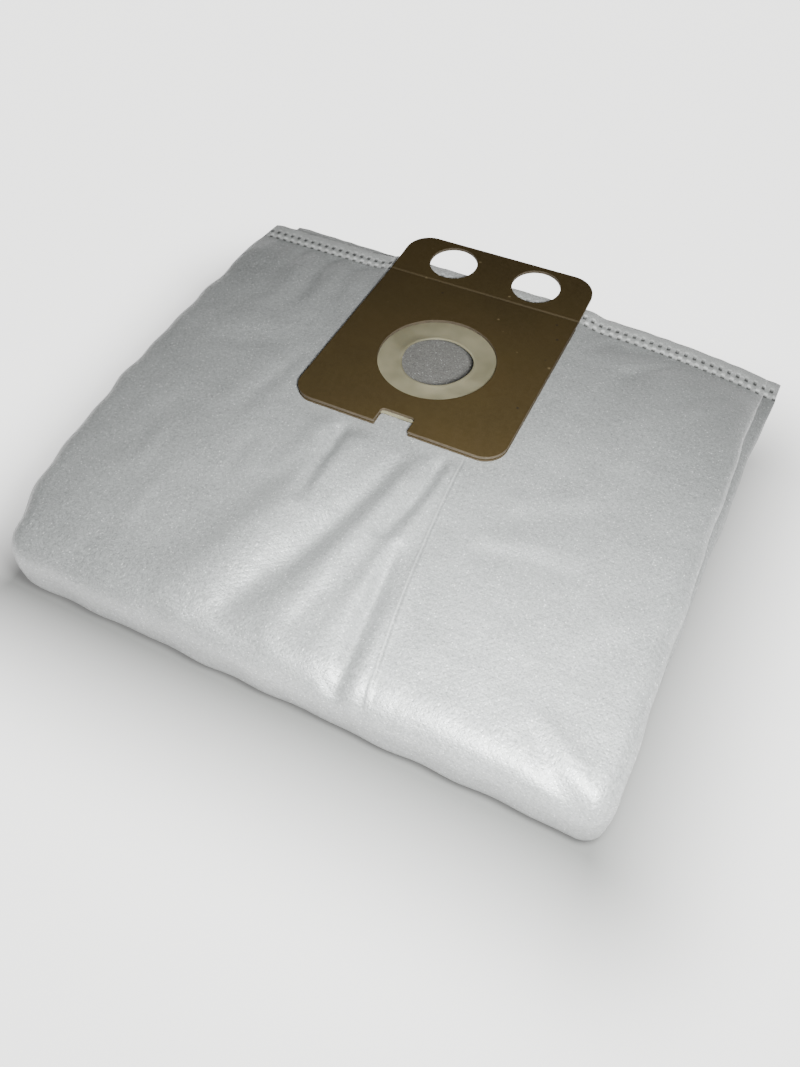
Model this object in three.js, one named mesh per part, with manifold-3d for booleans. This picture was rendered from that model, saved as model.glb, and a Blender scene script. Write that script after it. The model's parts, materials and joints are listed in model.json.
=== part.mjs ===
// Vacuum dust bag: a fleece tube welded shut at both ends and folded in half, with a card collar
// and a rubber sealing membrane round its inlet. It lies on its lower half, front fold at -Y.
import * as THREE from "three";
import { mergeVertices } from "three/addons/utils/BufferGeometryUtils.js";
import Module from "manifold-3d";

// Bag: lengths run from the inlet's centre line, heights from the floor
const FLAT_WIDTH = 279;
const INLET_OFFSET = 6.4;
const INLET_TO_FOLD = 160;
const INLET_TO_SEAM = 70.5;
const LAYER_AT_FOLD = 13.5;
const LAYER_AT_SEAM = 6.8;
const GAP_AT_FOLD = 7;
const GAP_AT_SEAM = 3;
const WALL = 1.2;
const EDGE_ROUNDING = 9;
const LEFT_SWELL = 6;
const LEFT_DRAWN_IN = 6;
const LEFT_CORNER = 10.5;
const LEFT_CORNER_ON_TOP = 0.55;
const LOWER_SHIFT = 7;
const LOWER_OVERRUN = 8;
const LOWER_TURN = 7;

// Welded seam
const SEAM_BAND = 12;
const SEAM_THICKNESS = 1.6;
const CLOSING_LENGTH = 60;
const SINK_START = 55;
const SEAM_DROOP = 2.5;
const DROOP_LENGTH = 22;
const WELD_ROWS = [
  [6.4, 0],
  [11, 0.5],
];
const WELD_PITCH = 4.3;
const WELD_RADIUS = 1.5;
const WELD_DEPTH = 0.5;
const CAVITY_TO_BAND = 10;

// Collar cards
const CARD_WIDTH = 104;
const PANEL_FRONT = 50.1;
const PANEL_BACK = 55.5;
const FLAP_LENGTH = 32;
const FLAP_RISE = THREE.MathUtils.degToRad(3.6);
const FRONT_CORNER = 11;
const FLAP_CORNER = 13;
const REAR_CORNER = 4;
const FRONT_CARD = 1.6;
const REAR_CARD = 0.8;
const SCORE_WIDTH = 1.4;
const SCORE_DEPTH = 0.45;
const COLLAR_HOLE = 57;
const FINGER_HOLE = 25;
const FINGER_SPACING = 46.4;
const FINGER_TO_SCORE = 16.5;
const NOTCH_WIDTH = 16.7;
const NOTCH_DEPTH = 8.8;
const NOTCH_CORNER = 2;
const GLUE_LINE = 0.05;

// Sealing membrane
const MEMBRANE = 0.6;
const MEMBRANE_HOLE = 33.5;
const MEMBRANE_DISH = 0.3;
const MEMBRANE_BEAD = 1.3;
const MEMBRANE_MARGIN = 16;
const MEMBRANE_SHOWING = 1.4;
const FLEECE_HOLE = 50;

// Soft folds pressed into the upper half: ends in the collar's plan, height, half-width
const FOLDS = [
  { from: [-12, -50], to: [-36, -168], height: 1.6, reach: 10 },
  { from: [10, -58], to: [-14, -172], height: -1.7, reach: 8 },
  { from: [22, -58], to: [5, -172], height: 1.3, reach: 7 },
  { from: [27, -50], to: [20, -124], height: -1.1, reach: 5 },
  { from: [33, -52], to: [25, -172], height: 1, reach: 6 },
  { from: [34, -104], to: [41, -178], height: -1.4, reach: 5 },
  { from: [43, -100], to: [48, -178], height: 0.7, reach: 5 },
  { from: [-21, -50], to: [-16, -104], height: -1.2, reach: 5 },
  { from: [-98, 62], to: [-97, 4], height: 1, reach: 6 },
  { from: [-87, 62], to: [-86, 8], height: -0.9, reach: 5 },
  { from: [-79, 60], to: [-77, 12], height: 0.8, reach: 5 },
  { from: [104, 54], to: [81, 24], height: -0.9, reach: 5 },
];
const FOLD_CLEAR_OF_CARD = 14;
const FOLDED_FROM = -30;
const FOLDED_TO = 55;

// Facets
const FOLDED_STEPS = 16;
const BESIDE_STEPS = 7;
const INNER_STEPS = 8;
const EDGE_STEPS = 3;
const UPPER_STEPS = 26;
const LOWER_STEPS = 10;
const BEND_STEPS = 8;
const HOLE_STEPS = 36;
const MERGE_DISTANCE = 1e-4;

// Heights and slopes that follow from the sizes above
const FOLD_HEIGHT = 2 * LAYER_AT_FOLD + GAP_AT_FOLD;
const SEAM_HEIGHT = 2 * LAYER_AT_SEAM + GAP_AT_SEAM;
const SLOPE = Math.atan2(FOLD_HEIGHT - SEAM_HEIGHT, INLET_TO_FOLD + INLET_TO_SEAM);

// Where each layer of the collar starts above the fleece
const REAR_CARD_BASE = GLUE_LINE;
const MEMBRANE_BASE = REAR_CARD_BASE + REAR_CARD + GLUE_LINE;
const FRONT_CARD_BASE = MEMBRANE_BASE + MEMBRANE + GLUE_LINE;

const wasm = await Module();
wasm.setup();

const { clamp, lerp, smoothstep } = THREE.MathUtils;

// A closed three.js geometry as a solid
function solidOf(geometry) {
  const bare = geometry.clone();
  bare.deleteAttribute("normal");
  bare.deleteAttribute("uv");
  const merged = mergeVertices(bare, MERGE_DISTANCE);
  const mesh = new wasm.Mesh({
    numProp: 3,
    vertProperties: merged.attributes.position.array,
    triVerts: new Uint32Array(merged.index.array),
  });
  return new wasm.Manifold(mesh);
}

// A solid as a named mesh
function meshOf(name, body, material) {
  const { vertProperties, triVerts } = body.getMesh();
  const geometry = new THREE.BufferGeometry();
  geometry.setAttribute("position", new THREE.BufferAttribute(vertProperties, 3));
  geometry.setIndex(new THREE.BufferAttribute(triVerts, 1));
  geometry.computeVertexNormals();
  const mesh = new THREE.Mesh(geometry, material);
  mesh.name = name;
  return mesh;
}

// How far one layer has closed up towards its seam: 0 is open, 1 is the seam band
function closing(toFreeEdge) {
  const toBand = Math.max(toFreeEdge - SEAM_BAND, 0);
  return Math.max(1 - toBand / CLOSING_LENGTH, 0) ** 2;
}

// How far the seams' right end has sunk to the floor: 0 at the middle, 1 at the end
function sinking(x) {
  const end = INLET_OFFSET + FLAT_WIDTH / 2;
  return clamp((x - SINK_START) / (end - SINK_START), 0, 1) ** 2;
}

// How far the upper seam droops beside the card: 0 under it and well into the bag, 1 at the band
function drooping(x, toFreeEdge) {
  const beside = smoothstep(Math.abs(x) - CARD_WIDTH / 2, 0, FOLD_CLEAR_OF_CARD);
  return beside * (1 - smoothstep(toFreeEdge, SEAM_BAND, SEAM_BAND + DROOP_LENGTH));
}

// How far a place on the upper half is clear of the card, which keeps the fleece flat under it
function clearOfCard(x, along) {
  const beside = Math.abs(x) - CARD_WIDTH / 2;
  const before = -PANEL_FRONT - along;
  return smoothstep(Math.max(beside, before), 0, FOLD_CLEAR_OF_CARD);
}

// The soft folds' height at a place on the upper half
function relief(x, along) {
  const place = new THREE.Vector3(x, along, 0);
  let height = 0;
  for (const fold of FOLDS) {
    const line = new THREE.Line3(new THREE.Vector3(...fold.from), new THREE.Vector3(...fold.to));
    const part = line.closestPointToPointParameter(place, true);
    const away = line.at(part, new THREE.Vector3()).distanceTo(place) / fold.reach;
    height += fold.height * Math.exp(-away * away) * Math.sin(Math.PI * part) ** 0.5;
  }
  return height * clearOfCard(x, along);
}

// The stations below describe the flattened tube in side view. Each gives the two faces of the
// layer at a place across it, as points (y, z), and how far along the upper half it lies.
function upperStation(y) {
  const back = (y + INLET_TO_FOLD) / (INLET_TO_SEAM + INLET_TO_FOLD);
  const open = lerp(LAYER_AT_FOLD, LAYER_AT_SEAM, back);
  const top = lerp(FOLD_HEIGHT, SEAM_HEIGHT, back);
  const closed = (open - SEAM_THICKNESS) * closing(INLET_TO_SEAM - y);
  const faces = (x) => {
    const drooped = SEAM_DROOP * drooping(x, INLET_TO_SEAM - y) * (1 - sinking(x));
    const outer = top - 2 * closed * sinking(x) - drooped;
    return [new THREE.Vector2(y, outer), new THREE.Vector2(y, outer - open + closed)];
  };
  const corner = LEFT_CORNER_ON_TOP * (1 - back) ** 12;
  return { faces, along: y, thickness: open - closed, front: 1 - back, corner, shift: 0 };
}

function lowerStation(y) {
  const seam = INLET_TO_SEAM + LOWER_OVERRUN;
  const back = (y + INLET_TO_FOLD) / (seam + INLET_TO_FOLD);
  const open = lerp(LAYER_AT_FOLD, LAYER_AT_SEAM, back);
  const closed = (open - SEAM_THICKNESS) * closing(seam - y);
  const faces = (x) => {
    const turned = y - LOWER_TURN * back * ((x - INLET_OFFSET) / FLAT_WIDTH);
    const outer = closed * (1 - sinking(x));
    return [new THREE.Vector2(turned, outer), new THREE.Vector2(turned, outer + open - closed)];
  };
  const shift = LOWER_SHIFT * back;
  const corner = (1 - back) ** 8;
  return { faces, along: null, thickness: open - closed, front: 1 - back, corner, shift };
}

function bendStation(turn) {
  const radius = FOLD_HEIGHT / 2;
  const centre = new THREE.Vector2(-INLET_TO_FOLD, radius);
  const outward = new THREE.Vector2(-Math.sin(turn), Math.cos(turn));
  const outer = centre.clone().addScaledVector(outward, radius);
  const inner = centre.clone().addScaledVector(outward, GAP_AT_FOLD / 2);
  const corner = lerp(LEFT_CORNER_ON_TOP, 1, Math.sin(Math.min(turn, Math.PI / 2)));
  const along = turn < Math.PI / 2 ? -INLET_TO_FOLD - radius * turn : null;
  return { faces: () => [outer, inner], along, thickness: LAYER_AT_FOLD, front: 1, corner, shift: 0 };
}

// All stations from the lower seam's free edge, round the front fold, to the upper one's,
// without those nearer than trimmed to a free edge
function stationsOf(trimmed) {
  const lowerEnd = INLET_TO_SEAM + LOWER_OVERRUN;
  const stations = [];
  for (let i = 0; i < LOWER_STEPS; i++) {
    const y = lerp(lowerEnd, -INLET_TO_FOLD, i / LOWER_STEPS);
    if (lowerEnd - y >= trimmed) stations.push(lowerStation(y));
  }
  for (let i = 0; i < BEND_STEPS; i++) {
    stations.push(bendStation(lerp(Math.PI, 0, i / BEND_STEPS)));
  }
  for (let i = 0; i <= UPPER_STEPS; i++) {
    const y = lerp(-INLET_TO_FOLD, INLET_TO_SEAM, i / UPPER_STEPS);
    if (INLET_TO_SEAM - y >= trimmed) stations.push(upperStation(y));
  }
  return stations;
}

// Shares of the way across a layer's flat stretch: equal steps, or closer ones over the folds
function evenShares(steps) {
  return Array.from({ length: steps + 1 }, (_, i) => i / steps);
}

function foldedShares() {
  const shareOf = (x) => 0.5 + (x - INLET_OFFSET) / (FLAT_WIDTH - 2 * EDGE_ROUNDING);
  const between = (from, to, steps) => evenShares(steps).map((share) => lerp(from, to, share));
  return [
    ...between(0, shareOf(FOLDED_FROM), BESIDE_STEPS),
    ...between(shareOf(FOLDED_FROM), shareOf(FOLDED_TO), FOLDED_STEPS).slice(1, -1),
    ...between(shareOf(FOLDED_TO), 1, BESIDE_STEPS),
  ];
}

// Places across one side of a layer between its two rounded edges, left to right.
// lift is the share of the layer's thickness there.
function placesAcross(left, right, rounding, shares) {
  const turns = evenShares(EDGE_STEPS).slice(1, -1).map((share) => (share * Math.PI) / 2);
  const edge = turns.map((turn) => ({ inward: rounding * (1 - Math.cos(turn)), lift: Math.sin(turn) }));
  return [
    ...edge.map(({ inward, lift }) => ({ x: left + inward, lift })),
    ...shares.map((share) => ({ x: lerp(left + rounding, right - rounding, share), lift: 1 })),
    ...edge.map(({ inward, lift }) => ({ x: right - inward, lift })).reverse(),
  ];
}

// The tube's closed outline at one station, set in by inset from its outside
function outlineAt(station, inset) {
  const narrowing = (Math.PI / 2 - 1) * (station.thickness - SEAM_THICKNESS);
  const half = (FLAT_WIDTH - narrowing) / 2 - inset;
  const middle = INLET_OFFSET + station.shift;
  const swell = LEFT_SWELL * 4 * station.front * (1 - station.front);
  const drawn = LEFT_DRAWN_IN * station.front ** 2 + LEFT_CORNER * station.corner;
  const left = middle - half - swell + drawn;
  const right = middle + half;
  const point = ({ x, lift }, side) => {
    const [outer, inner] = station.faces(x);
    const centre = outer.clone().lerp(inner, 0.5);
    const out = outer.clone().sub(centre);
    const reach = (out.length() - inset) * lift;
    const raised = side > 0 && station.along !== null ? relief(x, station.along) * lift : 0;
    const place = centre.addScaledVector(out.normalize(), side * reach + raised);
    return new THREE.Vector3(x, place.x, place.y);
  };
  const across = (shares) => placesAcross(left, right, EDGE_ROUNDING - inset, shares);
  return [
    point({ x: left, lift: 0 }, 1),
    ...across(foldedShares()).map((place) => point(place, 1)),
    point({ x: right, lift: 0 }, 1),
    ...across(evenShares(INNER_STEPS)).reverse().map((place) => point(place, -1)),
  ];
}

// A closed skin through equal outlines, capped at both ends
function loft(outlines) {
  const count = outlines[0].length;
  const last = (outlines.length - 1) * count;
  const index = [];
  for (let row = 0; row < last; row += count) {
    for (let i = 0; i < count; i++) {
      const next = (i + 1) % count;
      index.push(row + i, row + next, row + count + next);
      index.push(row + i, row + count + next, row + count + i);
    }
  }
  const capOf = (outline) =>
    THREE.ShapeUtils.triangulateShape(outline.map(({ x, z }) => new THREE.Vector2(x, z)), []);
  for (const [a, b, c] of capOf(outlines[0])) index.push(a, c, b);
  for (const [a, b, c] of capOf(outlines.at(-1))) index.push(last + a, last + c, last + b);
  const geometry = new THREE.BufferGeometry().setFromPoints(outlines.flat());
  geometry.setIndex(index);
  return solidOf(geometry);
}

// The pressed weld points of one seam, as cutters on the face that shows
function weldCutters(stationFor, freeEdge, face) {
  const cutters = [];
  for (const [row, stagger] of WELD_ROWS) {
    const station = stationFor(freeEdge - row);
    const left = INLET_OFFSET + station.shift - FLAT_WIDTH / 2 + WELD_PITCH;
    const count = Math.floor((FLAT_WIDTH - 3 * WELD_PITCH) / WELD_PITCH);
    for (let i = 0; i <= count; i++) {
      const x = left + (i + stagger) * WELD_PITCH;
      const { x: y, y: z } = station.faces(x)[face];
      const cone = new THREE.ConeGeometry(2 * WELD_RADIUS, 2 * WELD_DEPTH, 4);
      cone.rotateX(-Math.PI / 2).translate(x, y, z);
      cutters.push(solidOf(cone));
    }
  }
  return cutters;
}

// The fleece bag: outer skin, open inside, inlet cut through its upper wall
function fleeceBag() {
  const skin = loft(stationsOf(0).map((station) => outlineAt(station, 0)));
  const hollow = loft(stationsOf(SEAM_BAND + CAVITY_TO_BAND).map((station) => outlineAt(station, WALL)));
  const depth = upperStation(0).thickness;
  const inlet = new THREE.CylinderGeometry(FLEECE_HOLE / 2, FLEECE_HOLE / 2, depth, HOLE_STEPS);
  inlet.rotateX(Math.PI / 2).applyMatrix4(collarFrame());
  const welds = [
    ...weldCutters(upperStation, INLET_TO_SEAM, 0),
    ...weldCutters(lowerStation, INLET_TO_SEAM + LOWER_OVERRUN, 1),
  ];
  return skin.subtract(hollow).subtract(solidOf(inlet)).subtract(wasm.Manifold.union(welds));
}

// The collar's own frame: inlet centre on the fleece, +Z out of the bag
function collarFrame() {
  const height = upperStation(0).faces(0)[0].y;
  return new THREE.Matrix4().makeRotationX(-SLOPE).setPosition(0, 0, height);
}

// A card's plan with its notch and inlet hole, from its front edge to a given back edge
function cardPlan(back, backCorner) {
  const side = CARD_WIDTH / 2;
  const notch = NOTCH_WIDTH / 2;
  const notchEnd = NOTCH_DEPTH - PANEL_FRONT;
  const plan = new THREE.Shape();
  plan.moveTo(notch, -PANEL_FRONT);
  plan.lineTo(side - FRONT_CORNER, -PANEL_FRONT);
  plan.absarc(side - FRONT_CORNER, FRONT_CORNER - PANEL_FRONT, FRONT_CORNER, -Math.PI / 2, 0);
  plan.absarc(side - backCorner, back - backCorner, backCorner, 0, Math.PI / 2);
  plan.absarc(backCorner - side, back - backCorner, backCorner, Math.PI / 2, Math.PI);
  plan.absarc(FRONT_CORNER - side, FRONT_CORNER - PANEL_FRONT, FRONT_CORNER, Math.PI, 1.5 * Math.PI);
  plan.lineTo(-notch, -PANEL_FRONT);
  plan.absarc(NOTCH_CORNER - notch, notchEnd - NOTCH_CORNER, NOTCH_CORNER, Math.PI, Math.PI / 2, true);
  plan.absarc(notch - NOTCH_CORNER, notchEnd - NOTCH_CORNER, NOTCH_CORNER, Math.PI / 2, 0, true);
  plan.holes.push(circle(0, 0, COLLAR_HOLE / 2));
  return plan;
}

function circle(x, y, radius) {
  return new THREE.Path().absarc(x, y, radius, 0, 2 * Math.PI);
}

// A plan extruded from one height to another
function slab(plan, from, to) {
  const options = { depth: to - from, bevelEnabled: false, curveSegments: HOLE_STEPS / 4 };
  return solidOf(new THREE.ExtrudeGeometry(plan, options).translate(0, 0, from));
}

// The front card: its bent side view across the whole width, cut to its plan
function frontCard() {
  const low = FRONT_CARD_BASE;
  const high = FRONT_CARD_BASE + FRONT_CARD;
  const flapEnd = PANEL_BACK + FLAP_LENGTH;
  const rise = FLAP_LENGTH * Math.tan(FLAP_RISE);
  const side = new THREE.Shape([
    new THREE.Vector2(-PANEL_FRONT, low),
    new THREE.Vector2(PANEL_BACK, low),
    new THREE.Vector2(flapEnd, low + rise),
    new THREE.Vector2(flapEnd, high + rise),
    new THREE.Vector2(PANEL_BACK + SCORE_WIDTH / 2, high),
    new THREE.Vector2(PANEL_BACK, high - SCORE_DEPTH),
    new THREE.Vector2(PANEL_BACK - SCORE_WIDTH / 2, high),
    new THREE.Vector2(-PANEL_FRONT, high),
  ]);
  const bent = new THREE.ExtrudeGeometry(side, { depth: CARD_WIDTH, bevelEnabled: false });
  bent.rotateY(Math.PI / 2).rotateX(Math.PI / 2).translate(-CARD_WIDTH / 2, 0, 0);
  const plan = cardPlan(flapEnd, FLAP_CORNER);
  for (const across of [-1, 1]) {
    const x = (across * FINGER_SPACING) / 2;
    plan.holes.push(circle(x, PANEL_BACK + FINGER_TO_SCORE, FINGER_HOLE / 2));
  }
  return slab(plan, 0, high + rise + FRONT_CARD).intersect(solidOf(bent));
}

// The rear card, glued to the fleece under the main panel
function rearCard() {
  return slab(cardPlan(PANEL_BACK, REAR_CORNER), REAR_CARD_BASE, REAR_CARD_BASE + REAR_CARD);
}

// The membrane: a rubber sheet held between the cards, dished and beaded round its hole
function sealingMembrane() {
  const low = MEMBRANE_BASE;
  const high = MEMBRANE_BASE + MEMBRANE;
  const side = COLLAR_HOLE / 2 + MEMBRANE_MARGIN;
  const front = NOTCH_DEPTH - PANEL_FRONT - MEMBRANE_SHOWING;
  const sheet = new THREE.Shape();
  sheet.moveTo(-side, front);
  sheet.lineTo(side, front);
  sheet.lineTo(side, side);
  sheet.lineTo(-side, side);
  sheet.holes.push(circle(0, 0, COLLAR_HOLE / 2 - MEMBRANE));
  const rim = MEMBRANE_HOLE / 2;
  const dish = new THREE.LatheGeometry(
    [
      new THREE.Vector2(COLLAR_HOLE / 2, low),
      new THREE.Vector2(COLLAR_HOLE / 2, high),
      new THREE.Vector2(COLLAR_HOLE / 2 - 2 * MEMBRANE, high),
      new THREE.Vector2(rim + MEMBRANE_BEAD, high - MEMBRANE_DISH),
      new THREE.Vector2(rim + MEMBRANE_BEAD / 2, high - MEMBRANE_DISH / 2),
      new THREE.Vector2(rim, high - MEMBRANE_DISH),
      new THREE.Vector2(rim, low - MEMBRANE_DISH),
      new THREE.Vector2(COLLAR_HOLE / 2 - 2 * MEMBRANE, low),
      new THREE.Vector2(COLLAR_HOLE / 2, low),
    ],
    HOLE_STEPS,
  );
  dish.rotateX(Math.PI / 2);
  return slab(sheet, low, high).add(solidOf(dish));
}

const fleece = new THREE.MeshStandardMaterial({ color: "#b9bcba", roughness: 0.85, metalness: 0 });
const card = new THREE.MeshStandardMaterial({ color: "#48361d", roughness: 0.8, metalness: 0 });
const rubber = new THREE.MeshStandardMaterial({ color: "#918a70", roughness: 0.6, metalness: 0 });

const collar = new THREE.Group();
collar.add(
  meshOf("collar_rear_card", rearCard(), card),
  meshOf("sealing_membrane", sealingMembrane(), rubber),
  meshOf("collar_front_card", frontCard(), card),
);
collar.applyMatrix4(collarFrame());

const dustBag = new THREE.Group();
dustBag.add(meshOf("fleece_bag", fleeceBag(), fleece), collar);

// The origin is the middle of the bounding box's bottom
const bounds = new THREE.Box3().setFromObject(dustBag, true);
const middle = bounds.getCenter(new THREE.Vector3());
dustBag.position.set(-middle.x, -middle.y, -bounds.min.z);

export default dustBag;
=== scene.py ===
import json
import math

import bmesh
import bpy
import numpy as np
from mathutils import Matrix, Vector


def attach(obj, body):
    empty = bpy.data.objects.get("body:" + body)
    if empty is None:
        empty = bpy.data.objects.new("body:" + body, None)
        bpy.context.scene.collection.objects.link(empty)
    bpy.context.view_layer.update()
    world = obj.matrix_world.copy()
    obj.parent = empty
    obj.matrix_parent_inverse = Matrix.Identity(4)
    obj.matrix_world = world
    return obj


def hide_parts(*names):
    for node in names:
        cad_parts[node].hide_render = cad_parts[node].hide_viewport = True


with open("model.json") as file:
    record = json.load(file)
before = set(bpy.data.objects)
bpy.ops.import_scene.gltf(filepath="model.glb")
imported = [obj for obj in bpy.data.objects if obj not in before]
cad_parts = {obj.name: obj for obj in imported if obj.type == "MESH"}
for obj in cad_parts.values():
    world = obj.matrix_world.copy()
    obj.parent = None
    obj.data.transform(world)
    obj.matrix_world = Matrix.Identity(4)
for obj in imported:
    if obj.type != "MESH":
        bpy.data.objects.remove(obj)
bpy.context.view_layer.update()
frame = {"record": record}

# Sizes of the bag are in millimetres, as in the part's source, and meshes are made in metres
MM = 0.001

# Bag: flat width, its middle to the right of the inlet, lengths from the inlet, thickness of
# each flattened half and of the gap between them, the fleece's wall and the sides' rounding
FLAT_WIDTH = 279
INLET_OFFSET = 6.4
INLET_TO_FOLD = 160
INLET_TO_SEAM = 70.5
LAYER_AT_FOLD = 13.5
LAYER_AT_SEAM = 6.8
GAP_AT_FOLD = 7
GAP_AT_SEAM = 3
WALL = 1.2
EDGE_ROUNDING = 9

# The left edge swells out halfway and is drawn in at the front fold, most at its lower corner
LEFT_SWELL = 6
LEFT_DRAWN_IN = 6
LEFT_CORNER = 10.5
LEFT_CORNER_ON_TOP = 0.55

# How fast the drawn-in corner fades away from the front fold, on top and below
CORNER_FADE_ON_TOP = 12
CORNER_FADE_BELOW = 8

# The lower half lies a little to the right, reaches further back and is turned
LOWER_SHIFT = 7
LOWER_OVERRUN = 8
LOWER_TURN = 7

# The front fold's section: 1 is a half circle, and less has flatter faces and sharper crests
FOLD_CRISPNESS = 0.72

# Low lumps of the cloth on the front fold: from the crest to their middle, and their reach
LUMPS_FROM_CREST = 40
LUMPS_REACH = 16

# Welded seam: its band's width and thickness, the length over which the walls close, where
# its right end starts to sink, its droop beside the card, and where the room inside ends
SEAM_BAND = 12
SEAM_THICKNESS = 1.6
CLOSING_LENGTH = 60
SINK_START = 55
SEAM_DROOP = 2.5
DROOP_LENGTH = 22
CAVITY_TO_BAND = 10

# Rows of the weld, by their distance from the seam's free edge, with heights and reaches
WELD_PITCH = 4.4
LIP_ROW = 4.9
DIMPLE_ROW = 6.5
PAD_ROW = 9.7
GROOVE_ROW = 11.5
LIP_HEIGHT = 0.5
LIP_REACH = 0.8
DIMPLE_DEPTH = 0.95
DIMPLE_REACH = 1.0
BETWEEN_DIMPLES = 0.35
BETWEEN_REACH = 1.4
PAD_HEIGHT = 0.75
PAD_REACH = 1.1
GROOVE_DEPTH = 0.9
GROOVE_REACH = 0.7
HEM_HEIGHT = 0.22
RUFFLE_HEIGHT = 0.15

# Collar: the rear card, the rubber membrane and the front card with its flap
CARD_WIDTH = 104
PANEL_FRONT = 50.1
PANEL_BACK = 55.5
FLAP_LENGTH = 32
FLAP_RISE = math.radians(3.6)
FRONT_CORNER = 11
FLAP_CORNER = 13
REAR_CORNER = 4
FRONT_CARD = 1.6
REAR_CARD = 0.8
SCORE_WIDTH = 1.4
SCORE_DEPTH = 0.45
COLLAR_HOLE = 57
FINGER_HOLE = 25
FINGER_SPACING = 46.4
FINGER_TO_SCORE = 16.5
NOTCH_WIDTH = 16.7
NOTCH_DEPTH = 8.8
NOTCH_CORNER = 2
NOTCH_LIP = 0.5
GLUE_LINE = 0.05
MEMBRANE = 0.6
MEMBRANE_HOLE = 33.5
MEMBRANE_DISH = 0.3
FLEECE_HOLE = 50
FLEECE_CUT = 9

# How far the membrane reaches past the collar's hole, and past the bottom of the notch
MEMBRANE_MARGIN = 16
MEMBRANE_SHOWING = 1.4

# The die-cut edge of a card is rounded, and slightly pressed in halfway down
BOARD_ROUNDING = 0.22
BOARD_WAIST = 0.06

# Steps of round shapes
ARC_STEP = math.radians(5)
SMALL_ARC_STEP = math.radians(22)
CIRCLE_STEPS = 144
MEMBRANE_STEPS = 192
FLEECE_HOLE_STEPS = 96

# Heights at the front fold and at the seams, and lengths over the cloth
FOLD_HEIGHT = 2 * LAYER_AT_FOLD + GAP_AT_FOLD
SEAM_HEIGHT = 2 * LAYER_AT_SEAM + GAP_AT_SEAM
UPPER_LENGTH = INLET_TO_FOLD + INLET_TO_SEAM
LOWER_LENGTH = UPPER_LENGTH + LOWER_OVERRUN
BEND_RADIUS = FOLD_HEIGHT / 2
CLOTH_LENGTH = UPPER_LENGTH + math.pi * BEND_RADIUS + LOWER_LENGTH

# Where each layer of the collar starts above the fleece
REAR_CARD_BASE = GLUE_LINE
MEMBRANE_BASE = REAR_CARD_BASE + REAR_CARD + GLUE_LINE
FRONT_CARD_BASE = MEMBRANE_BASE + MEMBRANE + GLUE_LINE
COLLAR_TOP = FRONT_CARD_BASE + FRONT_CARD

# The collar's frame: inlet centre on the fleece and the card's normal, from the record. The
# mount on the card's face lies this far to the left of the inlet's centre.
FACE_MOUNT_OFFSET = 40
FACE_MOUNT = next(m for m in frame["record"]["mounts"] if m["name"] == "collar_face")
CARD_NORMAL = Vector(FACE_MOUNT["axis"]).normalized()
INLET_ON_CARD = Vector(FACE_MOUNT["pos_m"]) + Vector((FACE_MOUNT_OFFSET * MM, 0, 0))
INLET_ON_FLEECE = INLET_ON_CARD - CARD_NORMAL * (COLLAR_TOP * MM)
CARD_TILT = Vector((0, 0, 1)).rotation_difference(CARD_NORMAL).to_matrix()

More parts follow.
